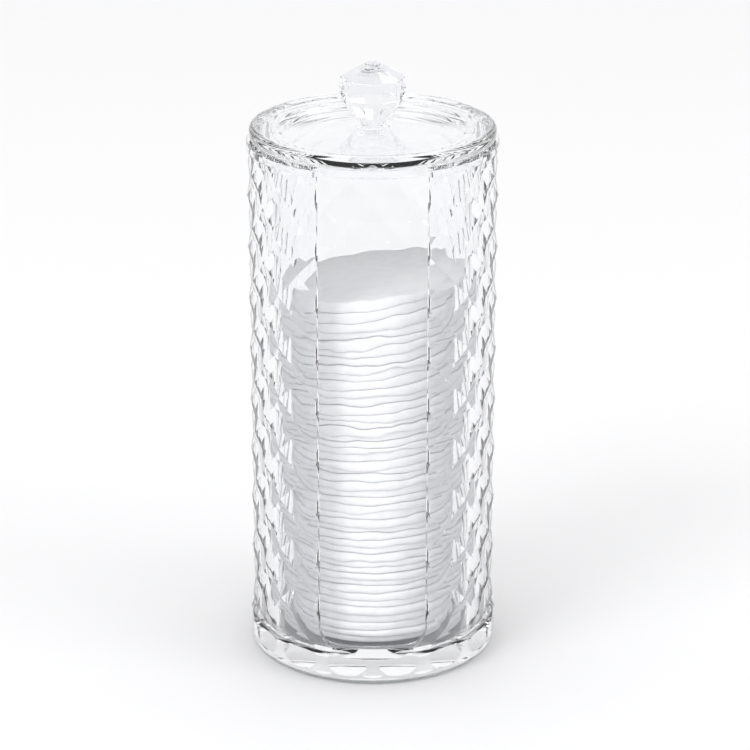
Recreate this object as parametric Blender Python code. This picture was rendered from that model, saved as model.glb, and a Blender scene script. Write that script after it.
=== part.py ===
"""A clear cotton pad dispenser: a diamond-cut container with a front slot, a plug-in lid with a cut crystal knob,
and the stack of cotton pads inside. Metres, +Z up. The origin is on the table under the container's axis, and the
slot faces -Y."""

import math

import bmesh
import bpy
from mathutils import Vector

# Fits and cuts
fit_gap = 0.0003
cut_overrun = 0.002
merge_distance = 0.00001

# Container
rim_radius = 0.0375
container_height = 0.1608
wall_thickness = 0.0045
floor_thickness = 0.009
lip_height = 0.0021
foot_recess_depth = 0.0006
foot_width = 0.0035
turned_sides = 60
turned_offset = math.radians(1.7)

# Diamonds cut into the container's outside
diamond_columns = 15
diamond_pitch = 0.01615
diamond_inset = 0.0001
diamond_depth = 0.0013
lowest_node_height = 0.0071

# Base ring
ring_height = 0.0096
ring_stand_out = 0.0006
ring_top_bevel = 0.0009
ring_lean = 0.0004
ring_lean_height = 0.0052
ring_node_stand_out = 0.0003

# Front slot
slot_width = 0.0318
slot_sill_above_floor = 0.0017
slot_corner_radius = 0.005
slot_corner_steps = 5

# Lid
lid_inset = 0.0009
lid_thickness = 0.0042
lid_edge_radius = 0.0016
lid_edge_steps = 4
plug_depth = 0.0033
plug_wall = 0.0025
plug_step_width = 0.0024
panel_hollow = 0.0012
panel_slope_width = 0.0031
boss_radius = 0.0048

# Knob
knob_radius = 0.0099
knob_sides = 8
girdle_height = 0.006
crown_height = 0.0041
table_radius = 0.0022
pavilion_height = 0.0071
neck_radius = 0.0037
foot_radius = 0.0041
foot_height = 0.0008
foot_sides = 24
peg_radius = 0.0021
socket_floor_thickness = 0.0016

# Cotton pads
pad_count = 46
pad_side_clearance = 0.0046
stack_height = 0.109
pad_edge_width = 0.0019
pad_sides = 24
pad_drift = 0.0005
wave_height = 0.0003
lean_right_share = 0.14
lean_back_share = -0.05
top_fluff_share = 0.55
top_fluff_power = 8
uneven_share = 0.16

bore_radius = rim_radius - wall_thickness
node_radius = rim_radius - diamond_inset
half_turn_step = math.pi / diamond_columns
lip_bottom = container_height - lip_height
lid_bottom = container_height + fit_gap
lid_top = lid_bottom + lid_thickness
plug_bottom = lid_bottom - plug_depth
socket_bottom = plug_bottom + socket_floor_thickness
pad_radius = bore_radius - pad_side_clearance


def clear_scene():
    for item in list(bpy.data.objects):
        bpy.data.objects.remove(item, do_unlink=True)


def make_material(name, colour, roughness, transmission=0.0, ior=1.49):
    material = bpy.data.materials.new(name)
    material.use_nodes = True
    shader = material.node_tree.nodes["Principled BSDF"]
    shader.inputs["Base Color"].default_value = (*colour, 1.0)
    shader.inputs["Roughness"].default_value = roughness
    shader.inputs["Metallic"].default_value = 0.0
    shader.inputs["Transmission Weight"].default_value = transmission
    shader.inputs["IOR"].default_value = ior
    material.diffuse_color = (*colour, 1.0)
    return material


def add_object(name, mesh_data, material=None):
    item = bpy.data.objects.new(name, mesh_data)
    bpy.context.scene.collection.objects.link(item)
    if material:
        mesh_data.materials.append(material)
    return item


def mesh_from(name, points, faces):
    mesh = bpy.data.meshes.new(name)
    mesh.from_pydata([tuple(p) for p in points], [], faces)
    work = bmesh.new()
    work.from_mesh(mesh)
    bmesh.ops.recalc_face_normals(work, faces=work.faces)
    work.to_mesh(mesh)
    work.free()
    return mesh


def ring_of_points(radius, height, sides, turn=0.0):
    """Points round the axis, the first one on -Y turned by the given angle."""
    angles = [turn + 2 * math.pi * k / sides for k in range(sides)]
    return [Vector((radius * math.sin(a), -radius * math.cos(a), height)) for a in angles]


def turned_mesh(name, profile, sides, turn=turned_offset):
    """Turns an outline of (radius, height) pairs that starts and ends on the axis into a closed solid. Round bodies
    are turned by a small offset, so that their own edges keep clear of the diamonds' lines."""
    first, last = profile[0], profile[-1]
    rings = profile[1:-1]
    points = [Vector((0, 0, first[1]))]
    for radius, height in rings:
        points += ring_of_points(radius, height, sides, turn)
    points.append(Vector((0, 0, last[1])))
    end = len(points) - 1
    faces = []
    for k in range(sides):
        after = (k + 1) % sides
        faces.append((0, 1 + after, 1 + k))
        for level in range(len(rings) - 1):
            low = 1 + level * sides
            high = low + sides
            faces.append((low + k, low + after, high + after, high + k))
        low = 1 + (len(rings) - 1) * sides
        faces.append((low + k, low + after, end))
    return mesh_from(name, points, faces)


def drum(name, radius, bottom, top):
    outline = [(0, bottom), (radius, bottom), (radius, top), (0, top)]
    return add_object(name, turned_mesh(name, outline, turned_sides))


def apply_boolean(item, tool, operation):
    """Cuts, joins or trims an object with a tool object, and removes the tool."""
    modifier = item.modifiers.new(operation.lower(), "BOOLEAN")
    modifier.operation = operation
    modifier.object = tool
    modifier.solver = "EXACT"
    graph = bpy.context.evaluated_depsgraph_get()
    result = bpy.data.meshes.new_from_object(item.evaluated_get(graph))
    item.modifiers.remove(modifier)
    old = item.data
    item.data = result
    bpy.data.meshes.remove(old)
    bpy.data.objects.remove(tool, do_unlink=True)


def diamond_cell(radius, valley):
    """One diamond cut into the front, its middle at height zero. Its four corner points lie on the radius. Two
    upright facets slope in from the side points and meet in a short valley, and two smaller ones close its top and
    bottom. Returns points as (radius, angle, height), and faces."""
    tip = diamond_pitch / 2
    across = radius * math.sin(half_turn_step)
    back = radius * math.cos(half_turn_step)
    slant = math.tan(half_turn_step / 2)
    bend = valley + (back - valley) * slant * valley / (across - slant * (back - valley))
    middle = bend / math.cos(half_turn_step / 2)
    valley_end = tip / 2 * (1 - (bend - valley) / (radius - bend))
    points = [
        (radius, -half_turn_step, 0),
        (radius, half_turn_step, 0),
        (radius, 0, tip),
        (radius, 0, -tip),
        (middle, -half_turn_step / 2, tip / 2),
        (middle, half_turn_step / 2, tip / 2),
        (middle, -half_turn_step / 2, -tip / 2),
        (middle, half_turn_step / 2, -tip / 2),
        (valley, 0, valley_end),
        (valley, 0, -valley_end),
    ]
    return points, [(0, 6, 9, 8, 4), (1, 5, 8, 9, 7), (2, 4, 8, 5), (3, 7, 9, 6)]


def diamond_column(name, radius, valley, bottom, top):
    """A solid whose side is cut in upright diamonds, in rows half a pitch apart, every second row turned by half a
    column. The valley is the radius that the diamonds reach in to."""
    half_pitch = diamond_pitch / 2
    first_row = math.floor((bottom - lowest_node_height) / half_pitch) - 1
    last_row = math.ceil((top - lowest_node_height) / half_pitch) + 1
    cell_points, cell_faces = diamond_cell(radius, valley)
    points, faces = [], []
    for row in range(first_row, last_row + 1):
        height = lowest_node_height + half_pitch * row
        for k in range(diamond_columns):
            turn = half_turn_step * (2 * k + (row + 1) % 2)
            faces += [[len(points) + n for n in face] for face in cell_faces]
            for reach, angle, rise in cell_points:
                angle += turn
                points.append(Vector((reach * math.sin(angle), -reach * math.cos(angle), height + rise)))
    mesh = mesh_from(name, points, faces)
    work = bmesh.new()
    work.from_mesh(mesh)
    bmesh.ops.remove_doubles(work, verts=work.verts, dist=merge_distance)
    ends = [work.verts.new((0, 0, height)) for height in (bottom - half_pitch, top + half_pitch)]
    for edge in [edge for edge in work.edges if edge.is_boundary]:
        upper = edge.verts[0].co.z > (bottom + top) / 2
        work.faces.new((*edge.verts, ends[upper]))
    bmesh.ops.recalc_face_normals(work, faces=work.faces)
    work.to_mesh(mesh)
    work.free()
    lattice = add_object(name, mesh)
    apply_boolean(lattice, drum("slab", radius + cut_overrun, bottom, top), "INTERSECT")
    return lattice


def ring_outline():
    """The base ring's side, from the table up, leaning out to its widest line and bevelled at its top."""
    widest = rim_radius + ring_stand_out
    return [
        (0, 0),
        (widest - ring_lean, 0),
        (widest, ring_lean_height),
        (widest, ring_height - ring_top_bevel),
        (widest - ring_top_bevel, ring_height),
        (0, ring_height),
    ]


def slot_tool():
    """A bar with a rounded bottom that cuts the front wall from the bore outwards."""
    sill = floor_thickness + slot_sill_above_floor
    top = container_height + cut_overrun
    half = slot_width / 2
    inner = half - slot_corner_radius
    outline = [(half, top)]
    for step in range(slot_corner_steps + 1):
        angle = math.pi / 2 * step / slot_corner_steps
        across = inner + slot_corner_radius * math.cos(angle)
        outline.append((across, sill + slot_corner_radius * (1 - math.sin(angle))))
    outline += [(-across, height) for across, height in reversed(outline)]
    near = -bore_radius * math.cos(math.asin(half / bore_radius)) + cut_overrun
    far = -(rim_radius + ring_stand_out + cut_overrun)
    count = len(outline)
    points = [(across, y, height) for y in (near, far) for across, height in outline]
    faces = [tuple(range(count)), tuple(range(count, 2 * count))]
    for k in range(count):
        after = (k + 1) % count
        faces.append((k, after, count + after, count + k))
    return add_object("slot_tool", mesh_from("slot_tool", points, faces))


def make_container(material):
    ring = add_object("container", turned_mesh("ring", ring_outline(), turned_sides))
    ring_nodes = rim_radius + ring_stand_out + ring_node_stand_out
    ring_flats = ring_nodes * math.cos(half_turn_step)
    ring_diamonds = diamond_column("ring_diamonds", ring_nodes, ring_flats, -cut_overrun, ring_height + cut_overrun)
    apply_boolean(ring, ring_diamonds, "INTERSECT")
    wall_top = container_height - lip_height / 2
    wall = diamond_column("wall_diamonds", node_radius, node_radius - diamond_depth, ring_height / 2, wall_top)
    apply_boolean(ring, wall, "UNION")
    apply_boolean(ring, drum("lip", rim_radius, lip_bottom, container_height), "UNION")
    apply_boolean(ring, drum("bore", bore_radius, floor_thickness, container_height + cut_overrun), "DIFFERENCE")
    apply_boolean(ring, slot_tool(), "DIFFERENCE")
    apply_boolean(ring, drum("recess", rim_radius - foot_width, -cut_overrun, foot_recess_depth), "DIFFERENCE")
    ring.data.materials.clear()
    ring.data.materials.append(material)
    return ring


def rounded_edge(radius, bottom, top, corner, steps):
    """The outline of a plate's edge with both corners rounded, from its underside to its top."""
    outline = []
    for step in range(steps + 1):
        angle = math.pi / 2 * step / steps
        outline.append((radius - corner * (1 - math.sin(angle)), bottom + corner * (1 - math.cos(angle))))
    for step in range(steps + 1):
        angle = math.pi / 2 * step / steps
        outline.append((radius - corner * (1 - math.cos(angle)), top - corner * (1 - math.sin(angle))))
    return outline


def make_lid(material):
    """The plate with its plug ring, the hollowed panel inside the ring, and the boss that holds the knob's peg."""
    plug_radius = bore_radius - fit_gap
    plug_inner = plug_radius - plug_wall
    slope_outer = plug_inner - plug_step_width
    slope_inner = slope_outer - panel_slope_width
    panel_bottom = lid_bottom + panel_hollow
    socket_radius = peg_radius + fit_gap
    outline = [
        (0, plug_bottom),
        (boss_radius, plug_bottom),
        (boss_radius, panel_bottom),
        (slope_inner, panel_bottom),
        (slope_outer, lid_bottom),
        (plug_inner, lid_bottom),
        (plug_inner, plug_bottom),
        (plug_radius, plug_bottom),
        (plug_radius, lid_bottom),
    ]
    outline += rounded_edge(rim_radius - lid_inset, lid_bottom, lid_top, lid_edge_radius, lid_edge_steps)
    outline += [(socket_radius, lid_top), (socket_radius, socket_bottom), (0, socket_bottom)]
    return add_object("lid", turned_mesh("lid", outline, turned_sides), material)


def make_knob(material):
    """An eight-sided cut crystal with a corner to the front, on a round foot with a peg under it."""
    foot_bottom = lid_top + fit_gap
    foot_top = foot_bottom + foot_height
    girdle_bottom = foot_top + pavilion_height
    girdle_top = girdle_bottom + girdle_height
    crown_top = girdle_top + crown_height
    foot_middle = foot_bottom + foot_height / 2
    cut = [
        (0, foot_middle),
        (neck_radius, foot_middle),
        (neck_radius, foot_top),
        (knob_radius, girdle_bottom),
        (knob_radius, girdle_top),
        (table_radius, crown_top),
        (0, crown_top),
    ]
    foot = [
        (0, socket_bottom + fit_gap),
        (peg_radius, socket_bottom + fit_gap),
        (peg_radius, foot_bottom),
        (foot_radius, foot_bottom),
        (foot_radius, foot_top),
        (0, foot_top),
    ]
    knob = add_object("knob", turned_mesh("knob", cut, knob_sides, 0))
    apply_boolean(knob, add_object("foot", turned_mesh("foot", foot, foot_sides)), "UNION")
    knob.data.materials.clear()
    knob.data.materials.append(material)
    return knob


def seam_levels():
    """Heights of the seams in the stack, from the floor up: the pads are a little uneven, and fluffier at the top."""
    weights = []
    for k in range(pad_count):
        share = (k + 1) / pad_count
        uneven = uneven_share * math.sin(2.4 * k + 3 * math.sin(k))
        weights.append(1 + top_fluff_share * share**top_fluff_power + uneven)
    levels = [0.0]
    for weight in weights:
        levels.append(levels[-1] + weight)
    return [floor_thickness + fit_gap / 2 + stack_height * level / levels[-1] for level in levels]


def seam_height(levels, k, x, y):
    """Height of seam k over a point: the stack leans and waves more towards its top, and lies flat on the floor."""
    share = k / pad_count
    lean = (lean_right_share * x + lean_back_share * y) * share**2
    angle = math.atan2(x, -y)
    reach = math.hypot(x, y) / pad_radius
    wave = math.sin(3 * angle + 1.7 * k) + math.sin(5 * angle - 2.3 * k) / 2
    return levels[k] + lean + wave_height * wave * reach * math.sqrt(share)


def make_pad(k, levels, mesh_material):
    """Pad k of the stack, counted from 0 at the floor: a soft disc whose rounded edge draws in between the seams."""
    drift_angle = 2.4 * k
    centre_x = pad_drift * math.sin(drift_angle)
    centre_y = pad_drift * math.cos(drift_angle)
    shoulder = pad_radius - pad_edge_width
    angles = [2 * math.pi * (n + 0.5 * (k % 2)) / pad_sides for n in range(pad_sides)]

    def top_at(x, y):
        return seam_height(levels, k + 1, x, y) - fit_gap / 2

    def bottom_at(x, y):
        return seam_height(levels, k, x, y) + fit_gap / 2

    points = [(centre_x, centre_y, bottom_at(centre_x, centre_y))]
    for part in ("bottom", "edge", "top"):
        for n, angle in enumerate(angles):
            uneven = pad_edge_width / 4 * math.sin(4 * angle + 1.3 * k)
            radius = pad_radius - pad_edge_width / 4 + uneven if part == "edge" else shoulder
            x = centre_x + radius * math.sin(angle)
            y = centre_y - radius * math.cos(angle)
            low, high = bottom_at(x, y), top_at(x, y)
            points.append((x, y, {"bottom": low, "edge": (low + high) / 2, "top": high}[part]))
    points.append((centre_x, centre_y, top_at(centre_x, centre_y)))
    end = len(points) - 1
    faces = []
    for n in range(pad_sides):
        after = (n + 1) % pad_sides
        low, edge, high = 1, 1 + pad_sides, 1 + 2 * pad_sides
        faces.append((0, low + after, low + n))
        faces.append((low + n, low + after, edge + after, edge + n))
        faces.append((edge + n, edge + after, high + after, high + n))
        faces.append((high + n, high + after, end))
    name = f"cotton_pad_{k + 1:02d}"
    pad = add_object(name, mesh_from(name, points, faces), mesh_material)
    pad.data.shade_smooth()
    return pad


def finish_round(item, angle_degrees=30):
    item.data.shade_smooth()
    item.data.set_sharp_from_angle(angle=math.radians(angle_degrees))


def build():
    clear_scene()
    acrylic = make_material("clear_acrylic", (0.97, 0.98, 0.99), 0.03, transmission=1.0)
    crystal = make_material("cut_crystal", (0.98, 0.98, 1.0), 0.01, transmission=1.0, ior=1.55)
    cotton = make_material("white_cotton", (0.93, 0.93, 0.95), 0.95)
    container = make_container(acrylic)
    finish_round(container, 4)
    finish_round(make_lid(acrylic))
    knob = make_knob(crystal)
    knob.data.shade_flat()
    levels = seam_levels()
    for k in range(pad_count):
        make_pad(k, levels, cotton)


build()
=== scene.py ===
import math

import bmesh
import bpy
import numpy as np
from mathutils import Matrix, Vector


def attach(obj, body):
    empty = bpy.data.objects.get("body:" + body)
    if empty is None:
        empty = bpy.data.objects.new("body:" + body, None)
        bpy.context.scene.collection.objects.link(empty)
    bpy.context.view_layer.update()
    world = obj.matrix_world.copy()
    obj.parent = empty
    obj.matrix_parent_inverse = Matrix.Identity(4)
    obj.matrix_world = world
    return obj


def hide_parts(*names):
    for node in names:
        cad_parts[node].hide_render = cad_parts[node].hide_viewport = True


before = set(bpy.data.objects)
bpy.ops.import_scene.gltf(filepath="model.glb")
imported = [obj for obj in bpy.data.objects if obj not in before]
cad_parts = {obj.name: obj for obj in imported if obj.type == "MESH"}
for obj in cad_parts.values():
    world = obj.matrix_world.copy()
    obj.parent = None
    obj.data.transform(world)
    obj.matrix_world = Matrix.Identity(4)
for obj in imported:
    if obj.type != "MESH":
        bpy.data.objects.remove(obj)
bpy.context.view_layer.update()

# Container, in metres, to the solids' sizes
rim_radius = 0.0375
container_height = 0.1608
bore_radius = 0.033
floor_thickness = 0.009
lip_height = 0.0021
foot_recess_depth = 0.0006
foot_width = 0.0035
diamond_columns = 15
diamond_pitch = 0.01615
diamond_radius = 0.0374
ring_diamond_radius = 0.0384
diamond_depth = 0.0013
lowest_node_height = 0.0071
ring_height = 0.0096
slot_width = 0.0318
slot_sill = 0.0107
slot_corner = 0.005
fit_gap = 0.0003

# Lid and knob, to the solids' sizes
lid_radius = 0.0366
lid_thickness = 0.0042
lid_bottom = container_height + fit_gap
lid_top = lid_bottom + lid_thickness
plug_depth = 0.0033
plug_width = 0.0025
plug_bottom = lid_bottom - plug_depth
panel_depth = 0.0012
panel_slope_start = 0.0024
panel_slope_end = 0.0055
boss_radius = 0.0048
socket_floor = 0.0016
peg_radius = 0.0021
foot_radius = 0.0041
foot_height = 0.0008
knob_facets = 8
knob_radius = 0.0099
knob_waist_low = 0.0071
knob_waist_high = 0.0131
knob_top_height = 0.0172
knob_top_radius = 0.0022

# Soft edges, which only the scene has
slot_edge_radius = 0.0362
slot_flare = 0.0022
slot_corner_steps = 16
lip_softness = 0.0004
bore_softness = 0.0006
bore_bevel = 0.0002
panel_side_height = 0.0009
lid_softness = 0.0003
lid_edge_corner = 0.0016
lid_edge_steps = 8
knob_bevel = 0.00012

# Making of the clear pieces
overrun = 0.002
round_turn = 0.003
round_sides = 180
fine_sides = 240
peg_sides = 72
slab_sides = 60
merge_distance = 0.00001
flat_angle = 0.01
wall_sharp_angle = 7
lid_sharp_angle = 30
knob_sharp_angle = 12

# Cotton pads
pad_count = 46
pad_radius = 0.0284
pad_sides = 144
stack_height = 0.109
seam_gap = 0.00005
lean_right = 0.14
lean_back = -0.05
pad_drift = 0.0005
uneven_step = 2.4
top_looseness = 0.55
looseness_power = 8
thickness_change = 0.16
wave_height = 0.0003
# Waves round the rim, their turn from seam to seam, and their share
broad_waves = ((3, 1.7, 1.0), (5, -2.3, 0.5))
ripple_height = 0.0011
ripple_counts = np.arange(5, 30)
ripple_seed = 700
rim_seed = 40
rim_counts = range(2, 22)
rim_start_range = 6.28
rim_fade = 0.8
rim_limit = 2
rim_inset = 0.00045
rim_unevenness = 0.00022
pad_edge_width = 0.0009
pad_edge_change = 0.0003
pad_edge_steps = 12
pad_edge_fullness = 0.8
pad_edge_flatness = 0.9
pad_face_shares = (0.25, 0.5, 0.7, 0.85, 0.93, 0.98)

# Studio
sensor_width = 36.0
photo_width = 750
focal_length_pixels = 3048.2
camera_place = (0.00066, -0.8678, 0.412)
camera_down_angle = 20.59
lamp_size = 0.7
lamp_aim = (0, 0, 0.1)
floor_reach = 4
floor_drop = 0.0003
light_bounces = 24
# Light paths in the clear pieces that reflect more often than this end dark.
# That draws part of the fine dark lines in them.
glossy_bounces = 10


def add_object(name, mesh):
    item = bpy.data.objects.new(name, mesh)
    bpy.context.scene.collection.objects.link(item)
    return item


def mesh_from(name, points, faces):
    mesh = bpy.data.meshes.new(name)
    mesh.from_pydata([tuple(p) for p in points], [], faces)
    work = bmesh.new()
    work.from_mesh(mesh)
    bmesh.ops.recalc_face_normals(work, faces=work.faces)
    work.to_mesh(mesh)
    work.free()
    return mesh


def ring_faces(sides, ring_count):
    """Faces of a closed body whose points are a first pole, then rings of points, then a last pole."""
    last_ring = 1 + (ring_count - 1) * sides
    end = last_ring + sides
    faces = []
    for k in range(sides):
        after = (k + 1) % sides
        faces.append((0, 1 + after, 1 + k))
        for level in range(ring_count - 1):
            low = 1 + level * sides
            high = low + sides
            faces.append((low + k, low + after, high + after, high + k))
        faces.append((last_ring + k, last_ring + after, end))
    return faces


def turned(name, outline, sides, turn=round_turn):
    """Turns an outline of (radius, height) pairs, from axis to axis, into a closed solid.
    The small turn keeps round bodies' own edges clear of the diamonds' lines."""
    rings = outline[1:-1]
    points = [(0, 0, outline[0][1])]
    for radius, height in rings:
        for k in range(sides):
            angle = turn + 2 * math.pi * k / sides
            points.append((radius * math.sin(angle), -radius * math.cos(angle), height))
    points.append((0, 0, outline[-1][1]))
    return add_object(name, mesh_from(name, points, ring_faces(sides, len(rings))))


def drum(name, radius, bottom, top, sides=round_sides):
    return turned(name, [(0, bottom), (radius, bottom), (radius, top), (0, top)], sides)


def settle(item):
    """Turns an object's live modifiers into its plain mesh."""
    graph = bpy.context.evaluated_depsgraph_get()
    mesh = bpy.data.meshes.new_from_object(item.evaluated_get(graph))
    item.modifiers.clear()
    item.data = mesh


def carve(item, tool, operation):
    """Joins a tool to an object, or cuts the object with it, and removes the tool."""
    modifier = item.modifiers.new(operation.lower(), "BOOLEAN")
    modifier.operation = operation
    modifier.object = tool
    modifier.solver = "EXACT"
    settle(item)
    bpy.data.objects.remove(tool, do_unlink=True)
    return item


def finish_edges(item, degrees, material):
    """Gives an object its one material and smooth shading, with edges sharper than the angle kept crisp."""
    item.data.materials.clear()
    item.data.materials.append(material)
    for polygon in item.data.polygons:
        polygon.material_index = 0
    item.data.shade_smooth()
    item.data.set_sharp_from_angle(angle=math.radians(degrees))
    return item


# Node helpers


def new_material(name):
    material = bpy.data.materials.new(name)
    material.use_nodes = True
    tree = material.node_tree
    shader = tree.nodes["Principled BSDF"]
    return material, tree, shader


def add_sockets(tree, in_out, kind, *names):
    for name in names:
        tree.interface.new_socket(name, in_out=in_out, socket_type=kind)


def add_node(tree, kind, **values):
    """Adds a node. Each value goes to the socket of that name, or else to the node's own setting."""
    node = tree.nodes.new(kind)
    for key, value in values.items():
        if key in node.inputs.keys():
            node.inputs[key].default_value = value
        else:
            setattr(node, key, value)
    return node


def math_node(tree, operation, a, b=None):
    node = tree.nodes.new("ShaderNodeMath")
    node.operation = operation
    for socket, value in zip(node.inputs, (a, b)):
        if value is None:
            continue
        if isinstance(value, (int, float)):
            socket.default_value = value
        else:
            tree.links.new(value, socket)
    return node.outputs[0]


# Diamonds round the container, by Geometry Nodes


def diamond_cell(radius, valley):
    """One diamond cut into the front, its middle at height zero.
    Two upright facets slope in from its side points and meet in a short valley.
    Two smaller ones close its top and bottom."""
    half_turn = math.pi / diamond_columns
    tip = diamond_pitch / 2
    back = radius * math.cos(half_turn)
    slant = math.tan(half_turn / 2)
    spread = radius * math.sin(half_turn) - slant * (back - valley)
    bend = valley + (back - valley) * slant * valley / spread
    middle = bend / math.cos(half_turn / 2)
    valley_end = tip / 2 * (1 - (bend - valley) / (radius - bend))

    def point(reach, angle, height):
        return (reach * math.sin(angle), -reach * math.cos(angle), height)

    points = [
        point(radius, -half_turn, 0),
        point(radius, half_turn, 0),
        point(radius, 0, tip),
        point(radius, 0, -tip),
        point(middle, -half_turn / 2, tip / 2),
        point(middle, half_turn / 2, tip / 2),
        point(middle, -half_turn / 2, -tip / 2),
        point(middle, half_turn / 2, -tip / 2),
        point(valley, 0, valley_end),
        point(valley, 0, -valley_end),
    ]
    faces = [(0, 6, 9, 8, 4), (1, 5, 8, 9, 7), (2, 4, 8, 5), (3, 7, 9, 6)]
    return add_object("diamond_cell", mesh_from("diamond_cell", points, faces))


def diamond_tree(material):
    """Sets diamonds in rows round the axis, every second row turned by half a column."""
    tree = bpy.data.node_groups.new("Diamond rows", "GeometryNodeTree")
    add_sockets(tree, "INPUT", "NodeSocketGeometry", "Geometry")
    add_sockets(tree, "INPUT", "NodeSocketObject", "Cell")
    add_sockets(tree, "INPUT", "NodeSocketInt", "Columns", "Rows", "First Row")
    add_sockets(tree, "INPUT", "NodeSocketFloat", "Half Pitch", "Node Height")
    add_sockets(tree, "OUTPUT", "NodeSocketGeometry", "Geometry")
    given = tree.nodes.new("NodeGroupInput").outputs
    out = tree.nodes.new("NodeGroupOutput")
    link = tree.links.new
    cell = tree.nodes.new("GeometryNodeObjectInfo")
    link(given["Cell"], cell.inputs["Object"])
    line = tree.nodes.new("GeometryNodeMeshLine")
    link(math_node(tree, "MULTIPLY", given["Columns"], given["Rows"]), line.inputs["Count"])
    index = tree.nodes.new("GeometryNodeInputIndex").outputs[0]
    turn_step = math_node(tree, "DIVIDE", math.pi, given["Columns"])
    column = math_node(tree, "FLOORED_MODULO", index, given["Columns"])
    level = math_node(tree, "FLOOR", math_node(tree, "DIVIDE", index, given["Columns"]))
    row = math_node(tree, "ADD", level, given["First Row"])
    odd = math_node(tree, "FLOORED_MODULO", row, 2.0)
    whole_turns = math_node(tree, "MULTIPLY", column, 2.0)
    half_turns = math_node(tree, "ADD", whole_turns, math_node(tree, "ADD", odd, 1.0))
    spin = tree.nodes.new("ShaderNodeCombineXYZ")
    link(math_node(tree, "MULTIPLY", half_turns, turn_step), spin.inputs["Z"])
    rise = tree.nodes.new("ShaderNodeCombineXYZ")
    climb = math_node(tree, "MULTIPLY", row, given["Half Pitch"])
    link(math_node(tree, "ADD", climb, given["Node Height"]), rise.inputs["Z"])
    place = tree.nodes.new("GeometryNodeSetPosition")
    link(line.outputs["Mesh"], place.inputs["Geometry"])
    link(rise.outputs[0], place.inputs["Position"])
    copies = tree.nodes.new("GeometryNodeInstanceOnPoints")
    link(place.outputs[0], copies.inputs["Points"])
    link(cell.outputs["Geometry"], copies.inputs["Instance"])
    link(spin.outputs[0], copies.inputs["Rotation"])
    real = tree.nodes.new("GeometryNodeRealizeInstances")
    link(copies.outputs[0], real.inputs["Geometry"])
    merge = add_node(tree, "GeometryNodeMergeByDistance", Distance=merge_distance)
    link(real.outputs[0], merge.inputs["Geometry"])
    dress = add_node(tree, "GeometryNodeSetMaterial", Material=material)
    link(merge.outputs[0], dress.inputs["Geometry"])
    link(dress.outputs[0], out.inputs["Geometry"])
    return tree


def diamond_column(name, tree, radius, valley, bottom, top):
    """A closed column between two heights whose side is cut in diamonds that reach in to the valley."""
    half_pitch = diamond_pitch / 2
    first = math.floor((bottom - lowest_node_height) / half_pitch) - 1
    last = math.ceil((top - lowest_node_height) / half_pitch) + 1
    cell = diamond_cell(radius, valley)
    column = add_object(name, bpy.data.meshes.new(name))
    modifier = column.modifiers.new("diamonds", "NODES")
    modifier.node_group = tree
    values = {
        "Cell": cell,
        "Columns": diamond_columns,
        "Rows": last - first + 1,
        "First Row": first,
        "Half Pitch": half_pitch,
        "Node Height": lowest_node_height,
    }
    for socket in tree.interface.items_tree:
        if socket.item_type == "SOCKET" and socket.in_out == "INPUT" and socket.name in values:
            modifier[socket.identifier] = values[socket.name]
    settle(column)
    bpy.data.objects.remove(cell, do_unlink=True)
    work = bmesh.new()
    work.from_mesh(column.data)
    ends = [work.verts.new((0, 0, height)) for height in (bottom - half_pitch, top + half_pitch)]
    for edge in [edge for edge in work.edges if edge.is_boundary]:
        upper = edge.verts[0].co.z > (bottom + top) / 2
        work.faces.new((*edge.verts, ends[upper]))
    bmesh.ops.recalc_face_normals(work, faces=work.faces)
    work.to_mesh(column.data)
    work.free()
    return carve(column, drum("slab", radius + overrun, bottom, top, slab_sides), "INTERSECT")


# Container


def slot_outline(grow):
    """The slot's sides and sill seen from the front, made wider all round by the given amount."""
    half = slot_width / 2 + grow
    corner = slot_corner + grow
    side = [(half, container_height + overrun)]
    for step in range(slot_corner_steps + 1):
        angle = math.pi / 2 * step / slot_corner_steps
        across = half - corner * (1 - math.cos(angle))
        side.append((across, slot_sill - grow + corner * (1 - math.sin(angle))))
    return side + [(-across, height) for across, height in reversed(side)]


def slot_bar():
    """A bar with a rounded bottom that opens the front wall, and flares out past the wall's outer edges."""
    near = -bore_radius * math.cos(math.asin(slot_width / 2 / bore_radius)) + overrun
    far = -rim_radius - 2 * overrun
    straight, flared = slot_outline(0.0), slot_outline(slot_flare)
    count = len(straight)
    points = [(across, near, height) for across, height in straight]
    for outline, reach in ((straight, slot_edge_radius), (flared, slot_edge_radius + slot_flare)):
        points += [(across, -math.sqrt(reach**2 - across**2), height) for across, height in outline]
    points += [(across, far, height) for across, height in flared]
    faces = [tuple(range(count)), tuple(range(3 * count, 4 * count))]
    for level in range(3):
        for k in range(count):
            low, after = level * count + k, level * count + (k + 1) % count
            faces.append((low, after, count + after, count + low))
    return add_object("slot_bar", mesh_from("slot_bar", points, faces))


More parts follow.
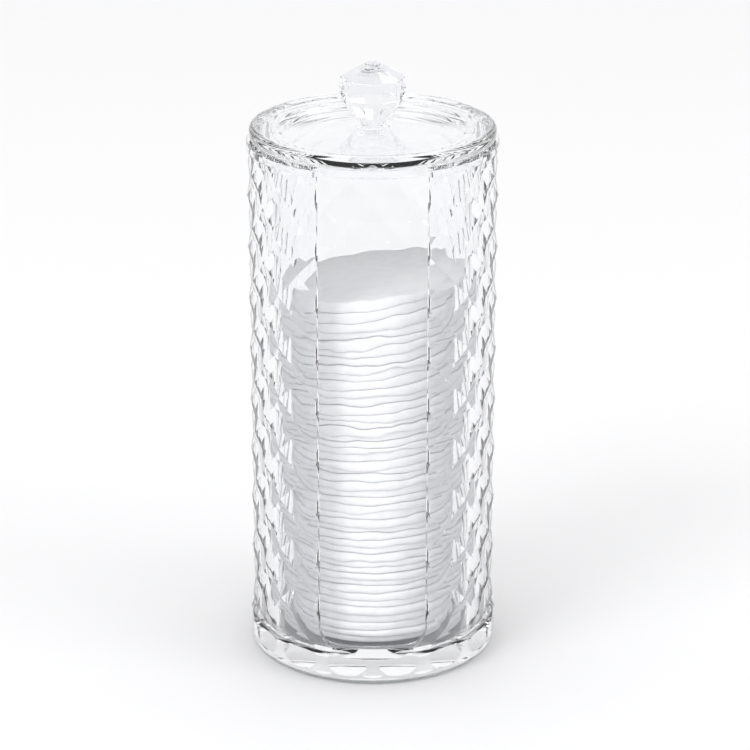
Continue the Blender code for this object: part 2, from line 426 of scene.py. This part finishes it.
def make_container(material):
    tree = diamond_tree(material)
    # The base ring's side, from the table up
    ring_side = [
        (0.0368, 0),
        (0.03715, 0.00035),
        (0.03745, 0.0014),
        (0.0377, 0.003),
        (0.038, 0.0052),
        (0.0381, 0.0072),
        (0.0381, 0.0083),
        (0.03785, 0.00895),
        (0.0372, ring_height),
    ]
    body = turned("clear_container", [(0, 0), *ring_side, (0, ring_height)], round_sides)
    ring_flats = ring_diamond_radius * math.cos(math.pi / diamond_columns)
    ring_end = ring_height + overrun
    ring_cut = diamond_column("ring_cut", tree, ring_diamond_radius, ring_flats, -overrun, ring_end)
    carve(body, ring_cut, "INTERSECT")
    wall_valley = diamond_radius - diamond_depth
    wall_bottom = ring_height / 2
    wall_top = container_height - lip_height / 2
    wall = diamond_column("wall_cut", tree, diamond_radius, wall_valley, wall_bottom, wall_top)
    carve(body, wall, "UNION")
    lip_bottom = container_height - lip_height
    lip = [
        (0, lip_bottom),
        (rim_radius, lip_bottom),
        (rim_radius, container_height - lip_softness),
        (rim_radius - lip_softness / 4, container_height - lip_softness / 4),
        (rim_radius - lip_softness, container_height),
        (0, container_height),
    ]
    carve(body, turned("lip", lip, round_sides), "UNION")
    bore_top = container_height + overrun
    bore = [
        (0, floor_thickness),
        (bore_radius - bore_softness, floor_thickness),
        (bore_radius - bore_bevel, floor_thickness + bore_bevel),
        (bore_radius, floor_thickness + bore_softness),
        (bore_radius, bore_top),
        (0, bore_top),
    ]
    carve(body, turned("bore", bore, fine_sides), "DIFFERENCE")
    recess = drum("recess", rim_radius - foot_width, -overrun, foot_recess_depth)
    carve(body, recess, "DIFFERENCE")
    carve(body, slot_bar(), "DIFFERENCE")
    return finish_edges(body, wall_sharp_angle, material)


# Lid and knob


def rounded(radius, bottom, top, corner, steps):
    """Outline of an upright side whose lower and upper corners are rounded."""
    turns = [math.pi / 2 * step / steps for step in range(steps + 1)]
    outline = []
    for angle in turns:
        outline.append((radius - corner * (1 - math.sin(angle)), bottom + corner * (1 - math.cos(angle))))
    for angle in turns:
        outline.append((radius - corner * (1 - math.cos(angle)), top - corner * (1 - math.sin(angle))))
    return outline


def make_lid(material):
    plug_radius = bore_radius - fit_gap
    plug_inner = plug_radius - plug_width
    socket = peg_radius + fit_gap
    outline = [
        (0, plug_bottom),
        (boss_radius - lid_softness, plug_bottom),
        (boss_radius, plug_bottom + lid_softness),
        (boss_radius, lid_bottom + panel_side_height),
        (boss_radius + lid_softness, lid_bottom + panel_depth),
        (plug_inner - panel_slope_end, lid_bottom + panel_depth),
        (plug_inner - panel_slope_start, lid_bottom),
        (plug_inner - lid_softness, lid_bottom),
        (plug_inner, lid_bottom - lid_softness),
        (plug_inner, plug_bottom + lid_softness),
        (plug_inner + lid_softness, plug_bottom),
        (plug_radius - lid_softness, plug_bottom),
        (plug_radius, plug_bottom + lid_softness),
        (plug_radius, lid_bottom),
        *rounded(lid_radius, lid_bottom, lid_top, lid_edge_corner, lid_edge_steps),
        (socket, lid_top),
        (socket, plug_bottom + socket_floor),
        (0, plug_bottom + socket_floor),
    ]
    return finish_edges(turned("clear_lid", outline, fine_sides), lid_sharp_angle, material)


def make_knob(material):
    foot_bottom = lid_top + fit_gap
    foot_top = foot_bottom + foot_height
    cut = [
        (0, foot_bottom),
        (foot_radius, foot_bottom),
        (knob_radius, foot_top + knob_waist_low),
        (knob_radius, foot_top + knob_waist_high),
        (knob_top_radius, foot_top + knob_top_height),
        (0, foot_top + knob_top_height),
    ]
    knob = turned("crystal_knob", cut, knob_facets, 0)
    work = bmesh.new()
    work.from_mesh(knob.data)
    bmesh.ops.dissolve_limit(work, angle_limit=flat_angle, verts=work.verts, edges=work.edges)
    edges = work.edges[:]
    bmesh.ops.bevel(work, geom=edges, offset=knob_bevel, segments=1, affect="EDGES", profile=0.5)
    work.to_mesh(knob.data)
    work.free()
    peg_bottom = plug_bottom + socket_floor + fit_gap
    carve(knob, drum("knob_peg", peg_radius, peg_bottom, foot_top, peg_sides), "UNION")
    return finish_edges(knob, knob_sharp_angle, material)


# Cotton pads


def seam_levels():
    """Heights of the seams: pads differ a little in thickness, and the top ones are pressed less."""
    weights = []
    for k in range(pad_count):
        share = (k + 1) / pad_count
        change = thickness_change * math.sin(uneven_step * k + 3 * math.sin(k))
        weights.append(1 + top_looseness * share**looseness_power + change)
    levels = np.concatenate([[0.0], np.cumsum(weights)])
    return floor_thickness + fit_gap / 2 + stack_height * levels / levels[-1]


def seam_ripples(k):
    """The seam's own small ripples: the strengths and starts of its waves round the rim."""
    chance = np.random.default_rng(ripple_seed + k)
    sizes = chance.normal(0, 1, len(ripple_counts)) / ripple_counts
    starts = chance.uniform(0, 2 * math.pi, len(ripple_counts))
    return sizes * ripple_height, starts


def seam_height(levels, k, x, y):
    """Height of a seam at places on it: its level, the stack's lean, broad waves and small ripples.
    The lean, waves and ripples grow from nothing at the container's floor."""
    share = k / pad_count
    lean = (lean_right * x + lean_back * y) * share**2
    angle = np.arctan2(x, -y)
    reach = np.hypot(x, y) / pad_radius
    wave = sum(size * np.sin(count * angle + shift * k) for count, shift, size in broad_waves)
    sizes, starts = seam_ripples(k)
    ripple = (sizes * np.sin(np.multiply.outer(angle, ripple_counts) + starts)).sum(-1)
    free = math.sqrt(share)
    return levels[k] + lean + wave_height * wave * reach * free + ripple * reach**3 * free


def pad_rings():
    """Rings from the pad's lower middle round its soft edge to its upper middle.
    Each has its share of the flat face, how far the edge bulges, and its side from -1 below to 1 above."""
    lower = [(share, 0.0, -1.0) for share in pad_face_shares]
    edge = []
    for step in range(1, pad_edge_steps):
        slope = -math.pi / 2 + math.pi * step / pad_edge_steps
        side = math.copysign(abs(math.sin(slope)) ** pad_edge_flatness, slope)
        edge.append((1.0, math.cos(slope) ** pad_edge_fullness, side))
    upper = [(share, 0.0, 1.0) for share in reversed(pad_face_shares)]
    return lower + edge + upper


def make_pad(k, levels, material):
    """A pressed round of cotton: flat faces that follow its neighbours, and a soft uneven rim."""
    chance = np.random.default_rng(rim_seed + k)
    angles = 2 * math.pi * np.arange(pad_sides) / pad_sides
    rim = np.zeros(pad_sides)
    for count in rim_counts:
        size = chance.normal(0, 1) / count**rim_fade
        rim += size * np.sin(count * angles + chance.uniform(0, rim_start_range))
    rim_reach = pad_radius - rim_inset + rim_unevenness * np.clip(rim, -rim_limit, rim_limit)
    centre = np.array([math.sin(uneven_step * k), math.cos(uneven_step * k)]) * pad_drift
    edge_width = pad_edge_width + pad_edge_change * chance.uniform(-1, 1)

    def lay(x, y, side):
        low = seam_height(levels, k, x, y) + seam_gap / 2
        high = seam_height(levels, k + 1, x, y) - seam_gap / 2
        return (low + high) / 2 + (high - low) / 2 * side

    rings = pad_rings()
    points = [(centre[0], centre[1], lay(centre[0], centre[1], -1.0))]
    for share, bulge, side in rings:
        reach = (rim_reach - edge_width) * share + edge_width * bulge
        x = centre[0] + reach * np.sin(angles)
        y = centre[1] - reach * np.cos(angles)
        points += list(zip(x, y, lay(x, y, side)))
    points.append((centre[0], centre[1], lay(centre[0], centre[1], 1.0)))
    mesh = mesh_from("pad", points, ring_faces(pad_sides, len(rings)))
    pad = add_object(f"soft_cotton_pad_{k + 1:02d}", mesh)
    pad.data.materials.append(material)
    pad.data.shade_smooth()
    return pad


# Materials


def moulding_group():
    """The faint unevenness of moulded plastic: a change of polish, and a slow wave in the surface."""
    group = bpy.data.node_groups.new("Moulded surface", "ShaderNodeTree")
    add_sockets(group, "INPUT", "NodeSocketFloat", "Polish", "Wave Scale")
    add_sockets(group, "OUTPUT", "NodeSocketFloat", "Roughness", "Height")
    given = group.nodes.new("NodeGroupInput").outputs
    out = group.nodes.new("NodeGroupOutput")
    link = group.links.new
    place = group.nodes.new("ShaderNodeTexCoord")
    slow = add_node(group, "ShaderNodeTexNoise", Detail=2.0, Roughness=0.4)
    link(place.outputs["Object"], slow.inputs["Vector"])
    link(given["Wave Scale"], slow.inputs["Scale"])
    fine = add_node(group, "ShaderNodeTexNoise", Scale=900.0, Detail=3.0)
    link(place.outputs["Object"], fine.inputs["Vector"])
    smear = math_node(group, "MULTIPLY", fine.outputs[0], 0.02)
    link(math_node(group, "ADD", given["Polish"], smear), out.inputs["Roughness"])
    link(slow.outputs[0], out.inputs["Height"])
    return group


def clear_material(name, group, colour, ior, polish, wave_scale, wave):
    material, tree, shader = new_material(name)
    shader.inputs["Base Color"].default_value = (*colour, 1)
    shader.inputs["Metallic"].default_value = 0.0
    shader.inputs["Transmission Weight"].default_value = 1.0
    shader.inputs["IOR"].default_value = ior
    surface = tree.nodes.new("ShaderNodeGroup")
    surface.node_tree = group
    surface.inputs["Polish"].default_value = polish
    surface.inputs["Wave Scale"].default_value = wave_scale
    tree.links.new(surface.outputs["Roughness"], shader.inputs["Roughness"])
    bump = add_node(tree, "ShaderNodeBump", Strength=wave, Distance=0.001)
    tree.links.new(surface.outputs["Height"], bump.inputs["Height"])
    tree.links.new(bump.outputs[0], shader.inputs["Normal"])
    return material


def cotton_material():
    """White cotton: soft tufts that change its tone a little, and fine fibres in its surface."""
    material, tree, shader = new_material("pressed_cotton")
    link = tree.links.new
    place = tree.nodes.new("ShaderNodeTexCoord")
    tufts = add_node(tree, "ShaderNodeTexNoise", Scale=260.0, Detail=5.0, Roughness=0.6)
    fibres = add_node(tree, "ShaderNodeTexNoise", Scale=1900.0, Detail=6.0, Roughness=0.7)
    fibres.inputs["Distortion"].default_value = 1.2
    for texture in (tufts, fibres):
        link(place.outputs["Object"], texture.inputs["Vector"])
    tone = tree.nodes.new("ShaderNodeValToRGB")
    darker, lighter = tone.color_ramp.elements
    darker.position = 0.25
    darker.color = (0.86, 0.87, 0.895, 1)
    lighter.position = 0.7
    lighter.color = (0.945, 0.948, 0.96, 1)
    link(tufts.outputs[0], tone.inputs[0])
    link(tone.outputs[0], shader.inputs["Base Color"])
    shader.inputs["Roughness"].default_value = 0.95
    shader.inputs["Specular IOR Level"].default_value = 0.15
    shader.inputs["Sheen Weight"].default_value = 0.3
    shader.inputs["Sheen Roughness"].default_value = 0.6
    soft_tufts = math_node(tree, "MULTIPLY", tufts.outputs[0], 0.6)
    fluff = math_node(tree, "ADD", soft_tufts, fibres.outputs[0])
    bump = add_node(tree, "ShaderNodeBump", Strength=0.5, Distance=0.0004)
    link(fluff, bump.inputs["Height"])
    link(bump.outputs[0], shader.inputs["Normal"])
    return material


# Studio


def make_camera():
    data = bpy.data.cameras.new("camera")
    camera = add_object("camera", data)
    data.sensor_width = sensor_width
    data.lens = focal_length_pixels / photo_width * sensor_width
    data.clip_start = 0.05
    data.clip_end = 50
    camera.location = camera_place
    camera.rotation_euler = (math.radians(90 - camera_down_angle), 0, 0)
    bpy.context.scene.camera = camera


def add_lamp(name, energy, place):
    data = bpy.data.lights.new(name, "AREA")
    data.size = lamp_size
    data.energy = energy
    lamp = add_object(name, data)
    lamp.location = place
    lamp.rotation_euler = (Vector(lamp_aim) - Vector(place)).to_track_quat("-Z", "Y").to_euler()


def make_world():
    """An even white studio. The camera, reflections and clear pieces all see the same white background."""
    world = bpy.data.worlds.new("studio")
    world.use_nodes = True
    bpy.context.scene.world = world
    tree = world.node_tree
    tree.nodes.clear()
    out = tree.nodes.new("ShaderNodeOutputWorld")
    background = add_node(tree, "ShaderNodeBackground", Color=(1, 1, 1, 1), Strength=1.0)
    tree.links.new(background.outputs[0], out.inputs["Surface"])


def make_floor():
    far = floor_reach
    corners = [(-far, -far, 0), (far, -far, 0), (far, far, 0), (-far, far, 0)]
    floor = add_object("floor", mesh_from("floor", corners, [(0, 1, 2, 3)]))
    floor.location.z = -floor_drop
    material, tree, shader = new_material("pale_floor")
    shader.inputs["Base Color"].default_value = (0.86, 0.86, 0.87, 1)
    shader.inputs["Roughness"].default_value = 0.6
    floor.data.materials.append(material)


def build():
    scene = bpy.context.scene
    scene.view_settings.view_transform = "Standard"
    scene.cycles.max_bounces = light_bounces
    scene.cycles.transmission_bounces = light_bounces
    scene.cycles.glossy_bounces = glossy_bounces
    make_camera()
    make_world()
    make_floor()
    add_lamp("key_softbox", 7, (-0.9, -0.9, 1.3))
    add_lamp("fill_softbox", 3, (1.1, -0.5, 0.9))
    surface = moulding_group()
    acrylic = clear_material(
        "clear_acrylic",
        surface,
        colour=(0.972, 0.976, 0.984),
        ior=1.49,
        polish=0.0,
        wave_scale=60.0,
        wave=0.02,
    )
    crystal = clear_material(
        "cut_crystal",
        surface,
        colour=(0.90, 0.905, 0.925),
        ior=1.52,
        polish=0.0,
        wave_scale=120.0,
        wave=0.0,
    )
    container = make_container(acrylic)
    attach(container, "container_body")
    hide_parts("container")
    lid = make_lid(acrylic)
    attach(lid, "lid_body")
    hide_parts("lid")
    knob = make_knob(crystal)
    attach(knob, "lid_body")
    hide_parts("knob")
    cotton = cotton_material()
    levels = seam_levels()
    for k in range(pad_count):
        pad = make_pad(k, levels, cotton)
        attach(pad, "top_pad" if k == pad_count - 1 else "pad_stack")
        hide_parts(f"cotton_pad_{k + 1:02d}")


build()
